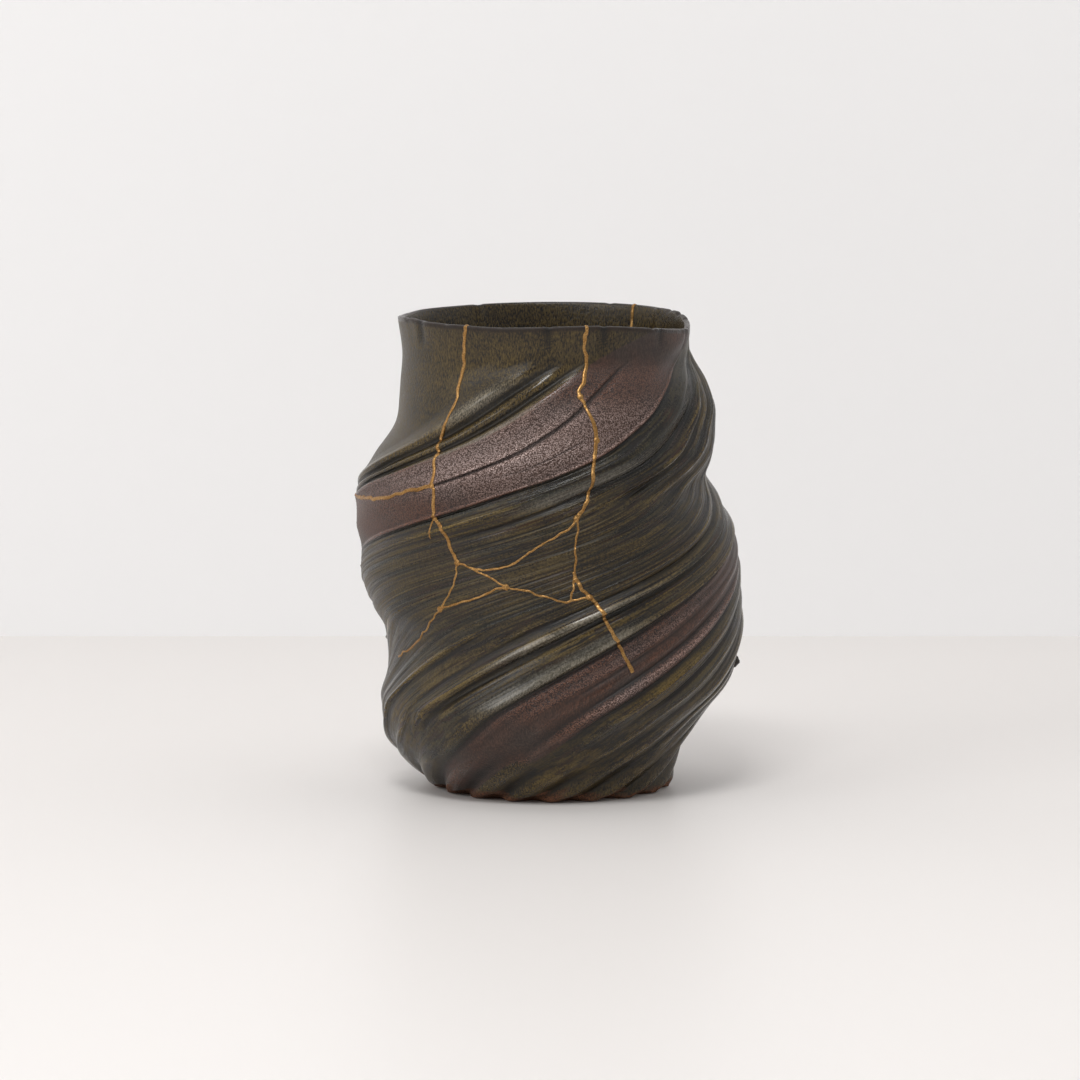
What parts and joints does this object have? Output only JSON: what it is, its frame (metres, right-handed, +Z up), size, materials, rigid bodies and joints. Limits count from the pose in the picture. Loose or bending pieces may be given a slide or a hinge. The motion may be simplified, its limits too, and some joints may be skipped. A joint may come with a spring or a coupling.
{
  "type": "kintsugi vase",
  "caption": "Hollow stoneware vase with a twisted, pleated wall, a wide open mouth and a scalloped flat foot, mended with raised gold seams.",
  "frame": {"origin": "on the surface that the vase stands on, under the middle of its outline seen from above", "axes": "+Z up, -Y towards the front that the picture shows, +X to the right seen from there"},
  "size_m": [0.1562, 0.153, 0.1921],
  "materials": {
    "ash_glaze_stoneware": "mottled olive and iron-brown ash glaze, satin to glossy, bare brown clay at the foot",
    "gold_lacquer": "satin gold powder on raised lacquer"
  },
  "bodies": {
    "root": {"vase_body": "ash_glaze_stoneware", "gold_seam_front": "gold_lacquer", "gold_seam_back": "gold_lacquer"}
  },
  "joints": []
}
